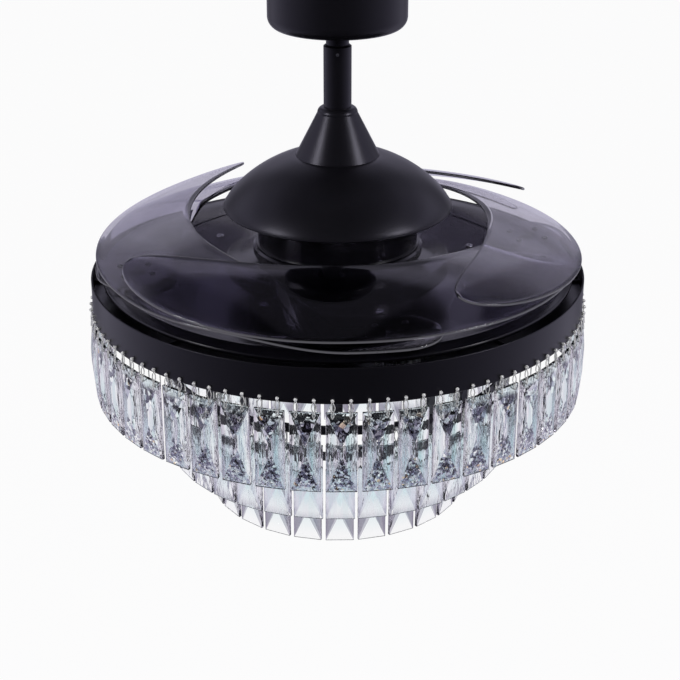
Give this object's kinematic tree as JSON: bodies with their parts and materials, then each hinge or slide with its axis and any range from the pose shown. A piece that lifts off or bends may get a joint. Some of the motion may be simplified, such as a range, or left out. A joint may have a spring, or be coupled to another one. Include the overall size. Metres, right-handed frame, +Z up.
{
  "type": "retractable blade ceiling fan",
  "caption": "Ceiling fan with curved blades that fold over a domed motor, above a drum band hung with three tiers of crystal drops round a lamp.",
  "frame": {"origin": "centre of the hanger bracket's top face, on the ceiling plane", "axes": "+Z up along the downrod's axis, the two ceiling bolts along X, -Y towards the viewer of the picture"},
  "size_m": [0.51, 0.51, 0.552],
  "materials": {
    "black_paint": "satin",
    "dark_pan": "satin",
    "bare_steel": "brushed",
    "bright_steel": "polished",
    "dark_screw": "satin",
    "chrome": "polished",
    "laminations": "brushed",
    "copper": "enamelled",
    "bronze": "turned",
    "magnet": "matt",
    "nylon": "matt",
    "white_plastic": "matt",
    "ring_alloy": "satin",
    "guide_plastic": "matt",
    "smoky_blade": "gloss",
    "crystal": "polished",
    "led_board": "matt",
    "opal": "satin"
  },
  "bodies": {
    "mount": {"ceiling_bracket": "bare_steel", "canopy": "black_paint", "canopy_screws": "dark_screw", "receiver_box": "white_plastic"},
    "ball": {"hanger_ball": "nylon"},
    "fixture": {"downrod": "black_paint", "ball_pin": "bright_steel", "rod_screw": "bright_steel", "yoke_cover": "black_paint", "motor_yoke": "bare_steel", "yoke_pin": "bright_steel", "main_shaft": "bare_steel", "motor_cover": "black_paint", "cover_screws": "dark_screw", "stator_core": "laminations", "stator_windings": "copper", "bearing_inner_rings": "bright_steel", "drum_band": "black_paint", "radial_arms": "black_paint", "frame_screws": "dark_screw", "shaft_nut": "bright_steel", "lamp_housing": "black_paint", "led_panel": "led_board", "led_driver": "white_plastic", "diffuser": "opal", "middle_tier_frame": "black_paint", "inner_tier_frame": "black_paint", "crystal_hooks": "chrome", "outer_crystals": "crystal", "middle_crystals": "crystal", "inner_crystals": "crystal"},
    "rotor": {"bearing_outer_rings": "bright_steel", "top_bell": "black_paint", "bottom_bell": "black_paint", "magnet_ring": "magnet", "bell_screws": "bright_steel", "carrier_boss": "black_paint", "blade_carrier": "dark_pan", "carrier_screws": "bright_steel", "pivot_bushes": "bronze", "ring_guides": "guide_plastic", "return_springs": "bright_steel"},
    "bearing_train": {"bearing_balls": "bright_steel"},
    "synchroniser": {"sync_ring": "ring_alloy"},
    "blade_arm_1": {"blade_1": "smoky_blade", "blade_hub_1": "dark_pan", "hub_screws_1": "bright_steel", "sync_pinion_1": "bare_steel"},
    "blade_arm_2": {"blade_2": "smoky_blade", "blade_hub_2": "dark_pan", "hub_screws_2": "bright_steel", "sync_pinion_2": "bare_steel"},
    "blade_arm_3": {"blade_3": "smoky_blade", "blade_hub_3": "dark_pan", "hub_screws_3": "bright_steel", "sync_pinion_3": "bare_steel"},
    "blade_arm_4": {"blade_4": "smoky_blade", "blade_hub_4": "dark_pan", "hub_screws_4": "bright_steel", "sync_pinion_4": "bare_steel"}
  },
  "joints": [
    {"name": "hanger_tilt_x", "type": "hinge", "parent": "mount", "child": "ball", "pos_m": [0, 0, -0.032], "axis": [1, 0, 0], "range_deg": [-6, 6]},
    {"name": "hanger_tilt_y", "type": "hinge", "parent": "ball", "child": "fixture", "pos_m": [0, 0, -0.032], "axis": [0, 1, 0], "range_deg": [-6, 6]},
    {"name": "rotor_spin", "type": "hinge", "parent": "fixture", "child": "rotor", "pos_m": [0, 0, -0.28], "axis": [0, 0, 1], "continuous": true},
    {"name": "bearing_train_spin", "type": "hinge", "parent": "fixture", "child": "bearing_train", "pos_m": [0, 0, -0.28], "axis": [0, 0, 1], "continuous": true},
    {"name": "blade_1_fold", "type": "hinge", "parent": "rotor", "child": "blade_arm_1", "pos_m": [0.19847, 0.05133, -0.301], "axis": [0, 0, 1], "range_deg": [0, 90], "stiffness_Nm_per_rad": 0.03, "springref_deg": -17.19},
    {"name": "blade_2_fold", "type": "hinge", "parent": "rotor", "child": "blade_arm_2", "pos_m": [-0.05133, 0.19847, -0.301], "axis": [0, 0, 1], "range_deg": [0, 90], "stiffness_Nm_per_rad": 0.03, "springref_deg": -17.19},
    {"name": "blade_3_fold", "type": "hinge", "parent": "rotor", "child": "blade_arm_3", "pos_m": [-0.19847, -0.05133, -0.301], "axis": [0, 0, 1], "range_deg": [0, 90], "stiffness_Nm_per_rad": 0.03, "springref_deg": -17.19},
    {"name": "blade_4_fold", "type": "hinge", "parent": "rotor", "child": "blade_arm_4", "pos_m": [0.05133, -0.19847, -0.301], "axis": [0, 0, 1], "range_deg": [0, 90], "stiffness_Nm_per_rad": 0.03, "springref_deg": -17.19},
    {"name": "synchroniser_turn", "type": "hinge", "parent": "rotor", "child": "synchroniser", "pos_m": [0, 0, -0.312], "axis": [0, 0, 1], "range_deg": [-15.5, 0]}
  ],
  "couplings": [
    {"joint": "bearing_train_spin", "follows": "rotor_spin", "ratio": 0.6},
    {"joint": "blade_2_fold", "follows": "blade_1_fold", "ratio": 1},
    {"joint": "blade_3_fold", "follows": "blade_1_fold", "ratio": 1},
    {"joint": "blade_4_fold", "follows": "blade_1_fold", "ratio": 1},
    {"joint": "synchroniser_turn", "follows": "blade_1_fold", "ratio": -0.17143}
  ]
}
